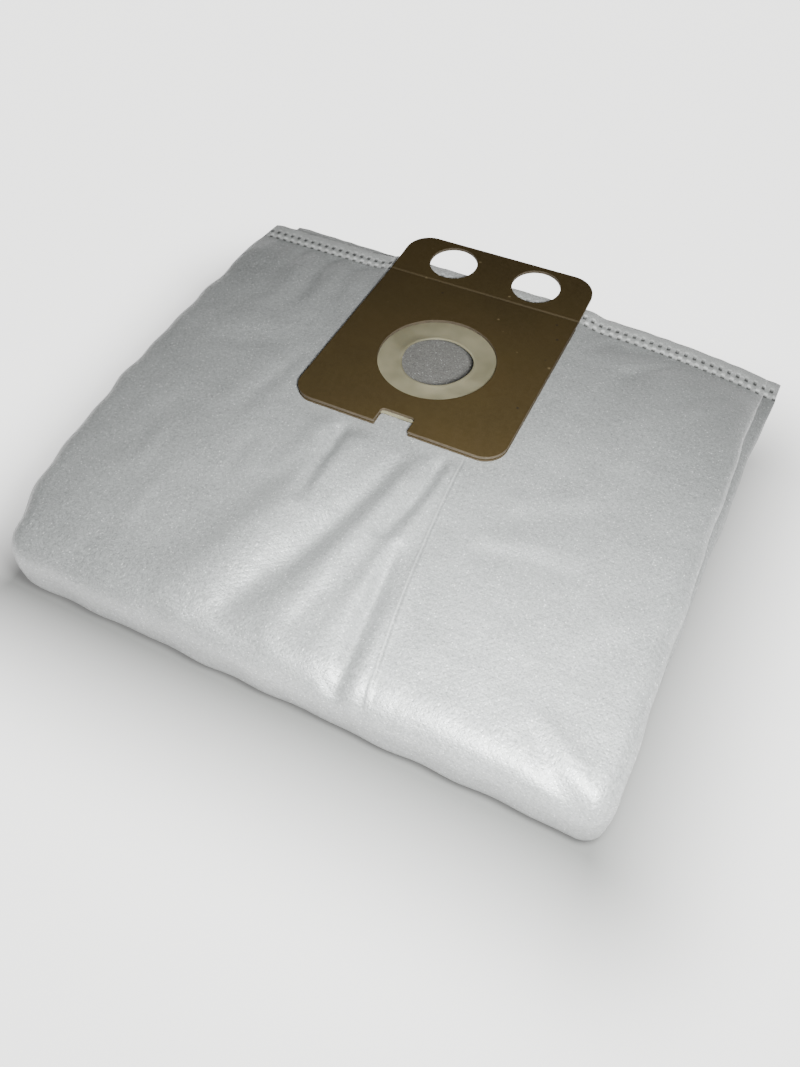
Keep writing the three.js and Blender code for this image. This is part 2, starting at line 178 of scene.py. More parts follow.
# Folds of the upper half. Each is a curve through its start, middle and end in the collar's
# plan, with its height, its half-width at the start and at the end.
FOLDS = [
    # ridges and valleys that run from the collar's front to the front fold
    ((-8, -52), (-18, -98), (-38, -168), 3.8, 7, 13),
    ((11, -62), (1, -110), (-16, -164), -4.2, 5, 7),
    ((20, -58), (14, -108), (4, -166), 3.0, 5, 8),
    ((28.5, -50), (27.5, -78), (22, -106), -3.4, 3, 3.6),
    ((33.5, -52), (31, -96), (24, -166), 2.2, 3.5, 6),
    ((31, -104), (35, -138), (40, -176), -3.4, 3, 3.4),
    ((42, -104), (44, -140), (47, -180), 1.3, 4, 4),
    ((-20.5, -50), (-19, -74), (-16, -104), -3.4, 3.2, 3.6),
    ((-28, -48), (-29, -68), (-34, -96), 1.6, 5, 7),
    ((-4, -108), (-7, -136), (-9, -156), 0.5, 3, 4),
    ((15, -128), (14, -146), (11, -160), -0.5, 2.5, 3.5),
    # small breaks where the folds meet the front
    ((-20, -158), (-12, -163), (-2, -164), -0.9, 2.5, 3.5),
    ((-44, -160), (-36, -168), (-24, -171), 0.7, 4, 5),
    ((2, -160), (12, -166), (28, -168), 0.6, 3, 4),
    ((30, -164), (36, -171), (42, -174), -0.9, 2.2, 3),
    ((48, -166), (50, -172), (52, -180), -0.6, 2.5, 3),
    # upright folds below the seam's left half
    ((-99, 62), (-98, 36), (-96, 2), 1.1, 4, 6),
    ((-88, 62), (-87.5, 38), (-86, 8), -1.1, 3, 5),
    ((-80, 60), (-79, 38), (-78, 12), 0.8, 3, 4.5),
    ((-71.5, 60), (-71, 42), (-69, 20), -0.9, 3, 4),
    ((-64, 60), (-63.5, 48), (-62, 34), 0.6, 2.5, 3.5),
    ((-112, 62), (-111, 50), (-110, 34), 0.8, 3, 4),
    ((-105, 62), (-105, 52), (-105, 38), -0.7, 2.5, 3.5),
    ((-124, 60), (-123, 46), (-120, 30), 0.6, 3.5, 5),
    # slanting creases below the seam's right half
    ((104, 54), (94, 43), (82, 29), -1.0, 2.0, 3.0),
    ((98, 56), (88, 46), (76, 34), 0.7, 3, 4.5),
    ((74, 60), (68, 50), (62, 38), -0.6, 3, 4),
    ((66, 60), (62, 52), (57, 44), 0.6, 3, 4),
    ((86, 60), (80, 52), (74, 46), -0.5, 2.5, 3),
    ((130, 42), (118, 32), (104, 20), -0.6, 3, 5),
    ((134, 36), (124, 26), (112, 16), 0.5, 3, 5),
    # faint folds on the right
    ((56, -98), (80, -91), (104, -92), -0.7, 4, 6),
    ((58, -88), (80, -82), (106, -80), 0.5, 4, 6),
    ((62, -66), (82, -56), (104, -40), 0.5, 5, 7),
    ((64, -74), (84, -64), (108, -50), -0.5, 5, 7),
    ((108, -112), (122, -104), (140, -84), 0.5, 5, 7),
    ((84, 16), (102, 4), (124, -10), 0.4, 6, 8),
    ((108, -148), (124, -160), (140, -170), 0.9, 3, 4),
    ((104, -154), (120, -167), (134, -177), -0.9, 3, 4),
    # faint folds on the left
    ((-60, -18), (-66, -44), (-68, -70), -0.8, 4, 6),
    ((-72, -4), (-96, -10), (-122, -8), 0.6, 7, 10),
    ((-78, -18), (-94, -26), (-112, -28), -0.6, 6, 8),
    ((-92, -84), (-91, -102), (-88, -118), 0.5, 3, 4),
    ((-76, -120), (-75, -138), (-72, -154), 0.5, 3, 5),
    ((-52, -78), (-53, -92), (-50, -110), -0.5, 3, 4),
    ((-104, -40), (-110, -70), (-112, -104), 0.5, 7, 9),
]

# Points along a fold's curve, and the widths from it beyond which the fold adds nothing
FOLD_POINTS = 12
FOLD_REACH = 3

# The fleece is flat at the card, and its folds reach their height this far away
FOLD_CLEAR_OF_CARD = 12

# The folds end this far down the front face, measured over the cloth from the crest
FOLDS_PAST_CREST = 0.8 * FOLD_HEIGHT

# How far the room inside keeps below the plain cloth, so that no fold cuts into it, and
# between which distances past the crest it rises back
SPACE_BELOW_FOLDS = 4.2
SPACE_RISES = (15, 50)

# Heights of the cloth's own slow and fine unevenness
SLOW_WAVES = 0.3
FINE_WAVES = 0.12

# The pressed crease line: its place at the collar's front edge and how it bends away on its run
# to the front fold
CREASE_START = 36.8
CREASE_LEAN = 5.8
CREASE_BEND = 11.4
CREASE_RUN = 130
CREASE_HEIGHT = 0.6
CREASE_WIDTH = 0.7

# Shares of its run at which the crease is fully pressed and at which it starts to fade
CREASE_PRESSED = 0.08
CREASE_FADING = 0.9

# Distance over the cloth from the upper free edge to the start of the crease line
CREASE_FROM = (INLET_TO_SEAM + PANEL_FRONT) * MM

# Mesh of the fleece's outer face (SKIN) and of the room inside it (SPACE): step lengths in the
# seam bands and on both halves, steps round the front fold and round a side, and columns
SKIN_STEPS = {"band_step": 0.65, "upper_step": 1.8, "lower_step": 7, "bend_steps": 26}
SKIN_EDGE_STEPS = 10
SKIN_INNER_COLUMNS = 150
SPACE_STEPS = {"band_step": 1, "upper_step": 4, "lower_step": 10, "bend_steps": 12}
SPACE_EDGE_STEPS = 4
SPACE_COLUMNS = 60

# Columns across are closer between these two places, where the crease line runs
CREASE_ZONE = (34, 58)
CREASE_COLUMN = 0.7
COLUMNS_TO_PITCH = 3

# The row value that marks the lower half, far past every fold
NO_FOLDS = -1000


def mix(a, b, share):
    return a + (b - a) * share


def smoothstep(value, low, high):
    share = np.clip((value - low) / (high - low), 0, 1)
    return share * share * (3 - 2 * share)


# Fleece

def clear_of_card(x, along):
    """1 away from the card, falling to 0 at its edges, where the fleece is held flat."""
    beside = np.abs(x) - CARD_WIDTH / 2
    before = -PANEL_FRONT - along
    return smoothstep(np.maximum(beside, before), 0, FOLD_CLEAR_OF_CARD)


def fold_height(x, along, fold):
    """One fold's height over the plain cloth."""
    start, middle, end, height, start_width, end_width = fold
    share = np.linspace(0, 1, FOLD_POINTS)[:, None]
    control = 2 * np.array(middle) - (np.array(start) + np.array(end)) / 2
    curve = (
        (1 - share) ** 2 * np.array(start)
        + 2 * share * (1 - share) * control
        + share**2 * np.array(end)
    )
    reach = FOLD_REACH * max(start_width, end_width)
    low, high = curve.min(0) - reach, curve.max(0) + reach
    near = (x > low[0]) & (x < high[0]) & (along > low[1]) & (along < high[1])
    made = np.zeros_like(x)
    if not near.any():
        return made
    place = np.stack([x[near], along[near]], axis=-1)
    best = np.full(len(place), np.inf)
    best_share = np.zeros(len(place))
    for i in range(FOLD_POINTS - 1):
        step = curve[i + 1] - curve[i]
        part = np.clip((place - curve[i]) @ step / (step @ step), 0, 1)
        away = np.linalg.norm(place - curve[i] - part[:, None] * step, axis=1)
        closer = away < best
        best = np.where(closer, away, best)
        best_share = np.where(closer, (i + part) / (FOLD_POINTS - 1), best_share)
    width = mix(start_width, end_width, best_share)
    fade = np.sin(np.pi * np.clip(best_share, 0, 1)) ** 0.5
    made[near] = height * np.exp(-((best / width) ** 2)) * fade
    return made


def undulation(x, along):
    """The cloth's own slight unevenness: slow and fine waves of unequal lengths."""
    slow = np.sin(x / 23 + 0.7) * np.sin(along / 31 + 0.4)
    slow = slow + 0.8 * np.sin(x / 14 - along / 19 + 2.1)
    fine = np.sin(x / 5.1 + along / 8.3) * np.sin(along / 4.6 - x / 9.4 + 1.0)
    return SLOW_WAVES * slow + FINE_WAVES * fine


def relief(x, along):
    """Height of the folds and unevenness over the plain cloth."""
    height = undulation(x, along)
    for fold in FOLDS:
        height = height + fold_height(x, along, fold)
    run = (-PANEL_FRONT - along) / CREASE_RUN
    crease = CREASE_START + CREASE_LEAN * run + CREASE_BEND * run**2
    pressed = smoothstep(run, 0, CREASE_PRESSED) * (1 - smoothstep(run, CREASE_FADING, 1))
    height = height + CREASE_HEIGHT * pressed * np.exp(-(((x - crease) / CREASE_WIDTH) ** 2))
    return height * clear_of_card(x, along)


def weld_relief(x, to_edge):
    """Height of the weld's rows, hem and ruffle, by the distance to the seam's free edge."""
    beat = np.cos(2 * math.pi * x / WELD_PITCH)
    at_dimple, between = np.clip(beat, 0, 1) ** 0.7, np.clip(-beat, 0, 1) ** 0.6

    def ridge(row, reach):
        return np.exp(-(((to_edge - row) / reach) ** 2))

    lips = LIP_HEIGHT * ridge(LIP_ROW, LIP_REACH)
    dimples = DIMPLE_DEPTH * ridge(DIMPLE_ROW, DIMPLE_REACH)
    low_pads = BETWEEN_DIMPLES * ridge(DIMPLE_ROW, BETWEEN_REACH)
    pads = PAD_HEIGHT * ridge(PAD_ROW, PAD_REACH)
    grooves = GROOVE_DEPTH * ridge(GROOVE_ROW, GROOVE_REACH)
    welds = (lips - dimples) * at_dimple + (low_pads + pads - grooves) * between
    hem = HEM_HEIGHT * smoothstep(to_edge, 0.3, 2.5) * (1 - smoothstep(to_edge, 3.0, 5.0))
    ruffle = np.sin(x / 2.1 + 0.5 + np.sin(x / 5)) * (1 - smoothstep(to_edge, 2, 6))
    in_band = 1 - smoothstep(to_edge, SEAM_BAND + 0.6, SEAM_BAND + 1.8)
    return (welds + hem + RUFFLE_HEIGHT * ruffle) * in_band


class Rows:
    """Side view of the flattened tube, row by row, from the lower seam's free edge round the
    front fold to the upper one's.

    outer and inner are the tube's two walls and thickness lies between them. sink and droop are
    how far a row falls where the seams' right end sinks and where the seam droops beside the
    card. front is 1 at the front fold and 0 at the seams, and corner is the share of the drawn-in
    left corner. shift and turned place the lower half. along is the row's place in the collar's
    plan, and cloth its distance over the cloth from the upper free edge."""

    FIELDS = (
        "outer_y", "outer_z", "inner_y", "inner_z", "thickness", "sink", "droop",
        "front", "corner", "shift", "turned", "along", "cloth",
    )

    def __init__(self):
        self.values = {name: [] for name in self.FIELDS}

    def add(self, **row):
        for name in self.FIELDS:
            self.values[name].append(row.get(name, 0))

    def column(self, name):
        return np.array(self.values[name], float)[:, None]


def closing(to_edge):
    """How far the two walls have come together on their way to the seam: 1 in its band."""
    to_band = max(to_edge - SEAM_BAND, 0)
    return max(1 - to_band / CLOSING_LENGTH, 0) ** 2


def add_upper(rows, y):
    """Adds a row of the upper half, at y from the inlet's centre."""
    back = (y + INLET_TO_FOLD) / UPPER_LENGTH
    to_edge = INLET_TO_SEAM - y
    opened = mix(LAYER_AT_FOLD, LAYER_AT_SEAM, back)
    top = mix(FOLD_HEIGHT, SEAM_HEIGHT, back)
    closed = (opened - SEAM_THICKNESS) * closing(to_edge)
    droop = SEAM_DROOP * (1 - smoothstep(to_edge, SEAM_BAND, SEAM_BAND + DROOP_LENGTH))
    rows.add(
        outer_y=y, outer_z=top, inner_y=y, inner_z=top - opened + closed,
        sink=2 * closed, droop=droop, thickness=opened - closed, front=1 - back,
        corner=LEFT_CORNER_ON_TOP * (1 - back) ** CORNER_FADE_ON_TOP,
        along=y, cloth=to_edge,
    )


def add_lower(rows, y):
    """Adds a row of the lower half, at y from the inlet's centre."""
    seam = INLET_TO_SEAM + LOWER_OVERRUN
    back = (y + INLET_TO_FOLD) / LOWER_LENGTH
    opened = mix(LAYER_AT_FOLD, LAYER_AT_SEAM, back)
    closed = (opened - SEAM_THICKNESS) * closing(seam - y)
    rows.add(
        outer_y=y, outer_z=closed, inner_y=y, inner_z=opened, sink=closed,
        thickness=opened - closed, front=1 - back,
        corner=(1 - back) ** CORNER_FADE_BELOW,
        shift=LOWER_SHIFT * back, turned=LOWER_TURN * back,
        along=NO_FOLDS, cloth=CLOTH_LENGTH - (seam - y),
    )


def add_bend(rows, turn):
    """Adds a row of the front fold, at a turn from its top."""
    across, up = -math.sin(turn), math.cos(turn)
    crisp_across = -abs(across) ** FOLD_CRISPNESS
    crisp_up = math.copysign(abs(up) ** FOLD_CRISPNESS, up)
    rows.add(
        outer_y=-INLET_TO_FOLD + BEND_RADIUS * crisp_across,
        outer_z=BEND_RADIUS * (1 + crisp_up),
        inner_y=-INLET_TO_FOLD + GAP_AT_FOLD / 2 * across,
        inner_z=BEND_RADIUS + GAP_AT_FOLD / 2 * up, thickness=LAYER_AT_FOLD, front=1,
        corner=mix(LEFT_CORNER_ON_TOP, 1, math.sin(min(turn, math.pi / 2))),
        along=-INLET_TO_FOLD - BEND_RADIUS * turn, cloth=UPPER_LENGTH + BEND_RADIUS * turn,
    )


def steps_between(start, end, size):
    """Places from start up to but not at end, about a size apart."""
    return np.linspace(start, end, max(int(abs(end - start) / size), 1), False)


def rows_of(trimmed, band_step, upper_step, lower_step, bend_steps):
    """All rows, less a length trimmed off at both free edges. The seam bands are finer."""
    rows = Rows()
    band = max(SEAM_BAND + 2 - trimmed, 0)
    lower_end, upper_end = INLET_TO_SEAM + LOWER_OVERRUN - trimmed, INLET_TO_SEAM - trimmed
    if band:
        for y in steps_between(lower_end, lower_end - band, band_step):
            add_lower(rows, y)
    for y in steps_between(lower_end - band, -INLET_TO_FOLD, lower_step):
        add_lower(rows, y)
    for turn in np.linspace(math.pi, 0, bend_steps, False):
        add_bend(rows, turn)
    for y in steps_between(-INLET_TO_FOLD, upper_end - band, upper_step):
        add_upper(rows, y)
    if band:
        for y in steps_between(upper_end - band, upper_end, band_step):
            add_upper(rows, y)
    add_upper(rows, upper_end)
    return rows


def places_across(edge_steps, shares):
    """Columns over one side of a layer: share of the flat stretch, offset into the rounded
    edge, and lift, the share of the layer's thickness."""
    turns = np.linspace(0, math.pi / 2, edge_steps, False)[1:]
    left = np.stack([0 * turns, -np.cos(turns), np.sin(turns)], axis=1)
    flat = np.stack([shares, 0 * shares, 0 * shares + 1], axis=1)
    right = np.stack([0 * turns + 1, np.cos(turns), np.sin(turns)], axis=1)[::-1]
    return np.concatenate([left, flat, right])


def edge_waves(cloth):
    """The soft edges' small waves, left and right, with their lengths and heights."""
    left = 0.7 * np.sin(cloth / 7.3 + 1.2) * np.sin(cloth / 31) + 0.45 * np.sin(cloth / 3.9)
    right = 0.35 * np.sin(cloth / 11 + 0.4) + 0.2 * np.sin(cloth / 4.7)
    seam = smoothstep(np.minimum(cloth, CLOTH_LENGTH - cloth), 4, 20)
    return left * seam, right * seam


def tube(rows, inset, outer_shares, inner_shares, edge_steps, waves, raise_outer, raise_inner):
    """Points of the tube's closed outline at every row, with their places on the cloth. inset
    makes it smaller all round, and the last two give the height added to each wall."""
    outer = places_across(edge_steps, outer_shares)
    inner = places_across(edge_steps, inner_shares)[::-1]
    columns = np.concatenate([[[0, -1, 0]], outer, [[1, 1, 0]], inner])
    side = np.concatenate([np.ones(len(outer) + 2), -np.ones(len(inner))])
    share, offset, lift = columns.T

    thickness, front, cloth = rows.column("thickness"), rows.column("front"), rows.column("cloth")
    half = (FLAT_WIDTH - (math.pi / 2 - 1) * (thickness - SEAM_THICKNESS)) / 2 - inset
    middle = INLET_OFFSET + rows.column("shift")
    swell = LEFT_SWELL * 4 * front * (1 - front)
    drawn = LEFT_DRAWN_IN * front**2 + LEFT_CORNER * rows.column("corner")
    left_wave, right_wave = edge_waves(cloth)
    left = middle - half - swell + drawn + waves * left_wave
    right = middle + half + waves * right_wave
    rounding = EDGE_ROUNDING - inset
    x = mix(left + rounding, right - rounding, share) + rounding * offset

    end = INLET_OFFSET + FLAT_WIDTH / 2
    sunk = np.clip((x - SINK_START) / (end - SINK_START), 0, 1) ** 2
    beside = smoothstep(np.abs(x) - CARD_WIDTH / 2, 0, FOLD_CLEAR_OF_CARD)
    fallen = rows.column("sink") * sunk + rows.column("droop") * beside * (1 - sunk)
    turned = rows.column("turned") * (x - INLET_OFFSET) / FLAT_WIDTH
    outer_face = np.stack([rows.column("outer_y") - turned, rows.column("outer_z") - fallen])
    inner_face = np.stack([rows.column("inner_y") - turned, rows.column("inner_z") - fallen])
    centre = (outer_face + inner_face) / 2
    out = outer_face - centre
    depth = np.linalg.norm(out, axis=0)
    raised = np.where(side > 0, raise_outer(x, rows), raise_inner(x, rows)) * lift
    reach = side * ((depth - inset) * lift + raised)
    y, z = centre + out / depth * reach
    return np.stack([x, y, z], axis=-1), np.stack([x, cloth + 0 * x], axis=-1)


def skin_faces(count_rows, count):
    """Faces of a closed skin through rows of equal outlines."""
    index = np.arange(count_rows * count).reshape(count_rows, count)
    following = np.roll(index, -1, axis=1)
    quads = np.stack([index[:-1], following[:-1], following[1:], index[1:]], axis=-1)
    faces = [tuple(face) for face in quads.reshape(-1, 4).tolist()]
    faces.append(tuple(reversed(index[0].tolist())))
    faces.append(tuple(index[-1].tolist()))
    return faces


def to_part(points):
    """From the bag's millimetres to the part's frame."""
    height = mix(FOLD_HEIGHT, SEAM_HEIGHT, INLET_TO_FOLD / UPPER_LENGTH)
    shift = np.array([*INLET_ON_FLEECE.xy, INLET_ON_FLEECE.z - height * MM])
    return np.asarray(points) * MM + shift


def new_object(name, points, faces):
    mesh = bpy.data.meshes.new(name)
    mesh.from_pydata([tuple(p) for p in np.asarray(points).tolist()], [], faces)
    mesh.update()
    piece = bpy.data.objects.new(name, mesh)
    bpy.context.scene.collection.objects.link(piece)
    return piece


def smooth(piece):
    for face in piece.data.polygons:
        face.use_smooth = True


def shares_across():
    """Shares across the flat stretch: a few to each weld pitch, closer at the crease line."""
    width = FLAT_WIDTH - 2 * EDGE_ROUNDING
    low, high = INLET_OFFSET - width / 2, INLET_OFFSET + width / 2
    coarse = WELD_PITCH / COLUMNS_TO_PITCH
    zone_start, zone_end = CREASE_ZONE
    stops = [*steps_between(low, zone_start, coarse)]
    stops += [*steps_between(zone_start, zone_end, CREASE_COLUMN)]
    stops += [*steps_between(zone_end, high, coarse), high]
    return (np.array(stops) - low) / width


def outer_relief(x, rows):
    """Height added to the outer wall: folds, the front fold's lumps and the upper weld."""
    along, cloth = rows.column("along") + 0 * x, rows.column("cloth")
    folds = np.where(along > -INLET_TO_FOLD - FOLDS_PAST_CREST, relief(x, along), 0)
    from_lumps = (cloth - UPPER_LENGTH - LUMPS_FROM_CREST) / LUMPS_REACH
    lumps = 0.5 * np.sin(x / 8 + 1) * np.sin(x / 27) + 0.3 * np.sin(x / 4.3)
    clear_of_weld = smoothstep(cloth, SEAM_BAND - 1, SEAM_BAND + 6)
    return folds * clear_of_weld + lumps * np.exp(-(from_lumps**2)) + weld_relief(x, cloth)


def inner_relief(x, rows):
    """Height added to the inner wall: the lower weld, which shows from above."""
    return weld_relief(x, CLOTH_LENGTH - rows.column("cloth"))


def under_folds(x, rows):
    """Height added to the roof of the room inside, lowered where the folds are deep."""
    before = -PANEL_FRONT - rows.column("along")
    crest = INLET_TO_FOLD - PANEL_FRONT
    near_folds = smoothstep(before, 0, FOLD_CLEAR_OF_CARD)
    start, end = SPACE_RISES
    near_folds = near_folds * (1 - smoothstep(before, crest + start, crest + end))
    return -SPACE_BELOW_FOLDS * near_folds + 0 * x


def no_relief(x, rows):
    return 0 * x


def lay_cloth(piece, places):
    """Adds the "cloth" layer, which says where each corner lies on the flat cloth."""
    corners = np.zeros(len(piece.data.loops), np.int32)
    piece.data.loops.foreach_get("vertex_index", corners)
    layer = piece.data.uv_layers.new(name="cloth")
    layer.data.foreach_set("uv", places[corners].astype(np.float32).ravel())


def fleece_bag():
    """The folded fleece tube: outer skin with its folds and welds, and the room inside."""
    rows = rows_of(0, **SKIN_STEPS)
    inner_shares = np.linspace(0, 1, SKIN_INNER_COLUMNS)
    points, cloth = tube(
        rows, inset=0, outer_shares=shares_across(), inner_shares=inner_shares,
        edge_steps=SKIN_EDGE_STEPS, waves=1, raise_outer=outer_relief, raise_inner=inner_relief,
    )
    faces = skin_faces(*points.shape[:2])

    hollow_rows = rows_of(SEAM_BAND + CAVITY_TO_BAND, **SPACE_STEPS)
    even = np.linspace(0, 1, SPACE_COLUMNS)
    hollow, hollow_cloth = tube(
        hollow_rows, inset=WALL, outer_shares=even, inner_shares=even[::2],
        edge_steps=SPACE_EDGE_STEPS, waves=0, raise_outer=under_folds, raise_inner=no_relief,
    )
    start = points.shape[0] * points.shape[1]
    hollow_faces = skin_faces(*hollow.shape[:2])
    faces += [tuple(start + i for i in reversed(face)) for face in hollow_faces]
    every = np.concatenate([points.reshape(-1, 3), hollow.reshape(-1, 3)])
    bag = new_object("fleece_cloth", to_part(every), faces)
    lay_cloth(bag, np.concatenate([cloth.reshape(-1, 2), hollow_cloth.reshape(-1, 2)]) * MM)
    inside = np.zeros(len(bag.data.polygons), np.int32)
    inside[-len(hollow_faces):] = 1
    bag.data.polygons.foreach_set("material_index", inside)
    return bag


def cylinder(name, centre, radius, length, steps):
    """A closed cylinder along the card's normal, for cutting."""
    points, faces = [], []
    for end in (-0.5, 0.5):
        for i in range(steps):
            angle = 2 * math.pi * i / steps
            spoke = Vector((radius * math.cos(angle), radius * math.sin(angle), end * length))
            points.append(centre + CARD_TILT @ spoke)
    for i in range(steps):
        following = (i + 1) % steps
        faces.append((i, following, steps + following, steps + i))
    faces.append(tuple(reversed(range(steps))))
    faces.append(tuple(range(steps, 2 * steps)))
    return new_object(name, points, faces)


def cut(piece, tool):
    """Cuts one closed mesh out of another and removes the tool."""
    modifier = piece.modifiers.new("cut", "BOOLEAN")
    modifier.operation = "DIFFERENCE"
    modifier.solver = "EXACT"
    modifier.object = tool
    depsgraph = bpy.context.evaluated_depsgraph_get()
    made = bpy.data.meshes.new_from_object(piece.evaluated_get(depsgraph))
    piece.modifiers.clear()
    piece.data = made
    bpy.data.objects.remove(tool)


# Collar

def arc(x, y, radius, start, end, step=ARC_STEP):
    """Points on an arc, both ends included, from one angle to another."""
    count = max(int(abs(end - start) / step), 2)
    angles = np.linspace(start, end, count + 1)
    return [(x + radius * math.cos(a), y + radius * math.sin(a)) for a in angles]


def circle(x, y, radius):
    angles = np.linspace(0, 2 * math.pi, CIRCLE_STEPS, False)
    return [(x + radius * math.cos(a), y + radius * math.sin(a)) for a in angles]


def card_plan(back, back_corner):
    """A card's outline with its notch, anticlockwise."""
    side, notch = CARD_WIDTH / 2, NOTCH_WIDTH / 2
    notch_end = NOTCH_DEPTH - PANEL_FRONT
    right, up, left, down = 0, math.pi / 2, math.pi, 1.5 * math.pi
    lip, small = NOTCH_LIP, SMALL_ARC_STEP
    front, inner = FRONT_CORNER - PANEL_FRONT, notch_end - NOTCH_CORNER
    return [
        *arc(notch + lip, lip - PANEL_FRONT, lip, left, down, small),
        *arc(side - FRONT_CORNER, front, FRONT_CORNER, -up, right),
        *arc(side - back_corner, back - back_corner, back_corner, right, up),
        *arc(back_corner - side, back - back_corner, back_corner, up, left),
        *arc(FRONT_CORNER - side, front, FRONT_CORNER, left, down),
        *arc(-notch - lip, lip - PANEL_FRONT, lip, -up, right, small),
        *arc(NOTCH_CORNER - notch, inner, NOTCH_CORNER, left, up, small),
        *arc(notch - NOTCH_CORNER, inner, NOTCH_CORNER, up, right, small),
    ]


def inset_loop(loop, distance):
    """An anticlockwise loop moved inwards, or a clockwise one outwards."""
    loop = np.array(loop)
    ahead = np.roll(loop, -1, 0) - loop
    ahead /= np.linalg.norm(ahead, axis=1)[:, None]
    direction = ahead + np.roll(ahead, 1, 0)
    direction /= np.linalg.norm(direction, axis=1)[:, None]
    return loop + distance * np.stack([-direction[:, 1], direction[:, 0]], axis=1)


def board(name, loops, low, high, bends):
    """A die-cut board with softly rounded edges. bends gives the height added at (y, upper)."""
    made = bmesh.new()
    rounding = [
        (BOARD_ROUNDING * (1 - math.cos(turn)), BOARD_ROUNDING * (1 - math.sin(turn)))
        for turn in np.linspace(math.pi / 2, 0, 4)
    ]
    profile = [(inset, high - below) for inset, below in rounding]
    for inset, share in ((0, 0.45), (BOARD_WAIST, 0.5), (0, 0.55)):
        profile.append((inset, mix(high, low, share)))
    profile += [(inset, low + above) for inset, above in reversed(rounding)]
    rims = []
    for loop in loops:
        rings = []
        for inset, height in profile:
            rings.append([made.verts.new((x, y, height)) for x, y in inset_loop(loop, inset)])
        for upper, lower in zip(rings, rings[1:]):
            for i in range(len(loop)):
                j = (i + 1) % len(loop)
                face = made.faces.new((upper[i], lower[i], lower[j], upper[j]))
                face.smooth = True
        rims.append((rings[0], rings[-1]))
    for end, direction in ((0, 1), (1, -1)):
        verts = {vertex for ends in rims for vertex in ends[end]}
        edges = [edge for edge in made.edges if edge.is_boundary and verts.issuperset(edge.verts)]
        bmesh.ops.triangle_fill(made, edges=edges, use_beauty=True, normal=(0, 0, direction))
    for share in (-1, -0.5, 0, 0.5, 1):
        score = (0, PANEL_BACK + share * SCORE_WIDTH / 2, 0)
        every = [*made.verts, *made.edges, *made.faces]
        bmesh.ops.bisect_plane(made, geom=every, plane_co=score, plane_no=(0, 1, 0), dist=1e-6)
    middle = (low + high) / 2
    for vertex in made.verts:
        vertex.co.z += bends(vertex.co.y, vertex.co.z > middle)
    bmesh.ops.triangulate(made, faces=[face for face in made.faces if len(face.verts) > 4])
    bmesh.ops.recalc_face_normals(made, faces=made.faces)
    mesh = bpy.data.meshes.new(name)
    made.to_mesh(mesh)
    made.free()
    place = Matrix.Translation(INLET_ON_FLEECE) @ CARD_TILT.to_4x4() @ Matrix.Scale(MM, 4)
    mesh.transform(place)
    piece = bpy.data.objects.new(name, mesh)
    bpy.context.scene.collection.objects.link(piece)
    return piece


def flap_bend(y, upper):
    """The flap's rise behind the score line, and the score's groove in the upper face."""
    rise = max(y - PANEL_BACK, 0) * math.tan(FLAP_RISE)
    if not upper:
        return rise
    return rise - SCORE_DEPTH * max(1 - abs(y - PANEL_BACK) / (SCORE_WIDTH / 2), 0)


def front_card():
    loops = [card_plan(PANEL_BACK + FLAP_LENGTH, FLAP_CORNER), circle(0, 0, COLLAR_HOLE / 2)[::-1]]
    for across in (-1, 1):
        place = across * FINGER_SPACING / 2, PANEL_BACK + FINGER_TO_SCORE
        loops.append(circle(*place, FINGER_HOLE / 2)[::-1])
    return board("front_board", loops, FRONT_CARD_BASE, FRONT_CARD_BASE + FRONT_CARD, flap_bend)


def rear_card():
    loops = [card_plan(PANEL_BACK, REAR_CORNER), circle(0, 0, COLLAR_HOLE / 2)[::-1]]
    top = REAR_CARD_BASE + REAR_CARD
    return board("rear_board", loops, REAR_CARD_BASE, top, lambda y, upper: 0)


def sealing_membrane():
    """The rubber sheet between the cards, dished round its hole with a soft lip."""
    rim, seat = MEMBRANE_HOLE / 2, COLLAR_HOLE / 2
    dish, under = -MEMBRANE_DISH, -MEMBRANE_DISH - MEMBRANE
    # Radius and height: over the upper face to the hole, round its lip and back below
    profile = [
        (seat + 8, 0), (seat + 1, 0), (seat - 0.6, -0.02), (seat - 3, -0.1), (seat - 6, dish),
        (rim + 4, dish), (rim + 2.4, dish), (rim + 1.6, dish + 0.12), (rim + 1, dish + 0.2),
        (rim + 0.45, dish + 0.14), (rim + 0.12, dish - 0.02), (rim, dish - 0.25),
        (rim + 0.1, under + 0.06), (rim + 0.4, under), (seat - 6, under),
        (seat - 3, -0.1 - MEMBRANE), (seat - 0.6, -MEMBRANE), (seat + 8, -MEMBRANE),
    ]
    edge = seat + MEMBRANE_MARGIN
    front = PANEL_FRONT - NOTCH_DEPTH + MEMBRANE_SHOWING
    points, faces = [], []
    for i in range(MEMBRANE_STEPS):
        angle = 2 * math.pi * i / MEMBRANE_STEPS
        across, up = math.cos(angle), math.sin(angle)
        wave = 0.09 * math.sin(2 * angle + 0.6) + 0.06 * math.sin(3 * angle + 2.0)
        oval = 0.35 * math.sin(2 * angle + 0.9) + 0.3 * math.sin(3 * angle + 0.4)
        oval += 0.12 * math.sin(5 * angle)
        end = edge if up > 0 else front
        reach = min(edge / max(abs(across), 1e-6), end / max(abs(up), 1e-6))
        points.append((reach * across, reach * up, 0))
        for radius, height in profile:
            near = min(max(1 - (radius - rim) / (seat - rim - 1), 0), 1)
            grown = radius + oval * near
            points.append((grown * across, grown * up, height + wave * min(2 * near, 1)))
        points.append((reach * across, reach * up, -MEMBRANE))
    count = len(profile) + 2
    for i in range(MEMBRANE_STEPS):
        j = (i + 1) % MEMBRANE_STEPS
        for k in range(count):
            below = (k + 1) % count
            faces.append((i * count + k, i * count + below, j * count + below, j * count + k))
    base = MEMBRANE_BASE + MEMBRANE
    placed = [INLET_ON_FLEECE + CARD_TILT @ (Vector((x, y, z + base)) * MM) for x, y, z in points]
    return new_object("rubber_membrane", placed, faces)


# Materials

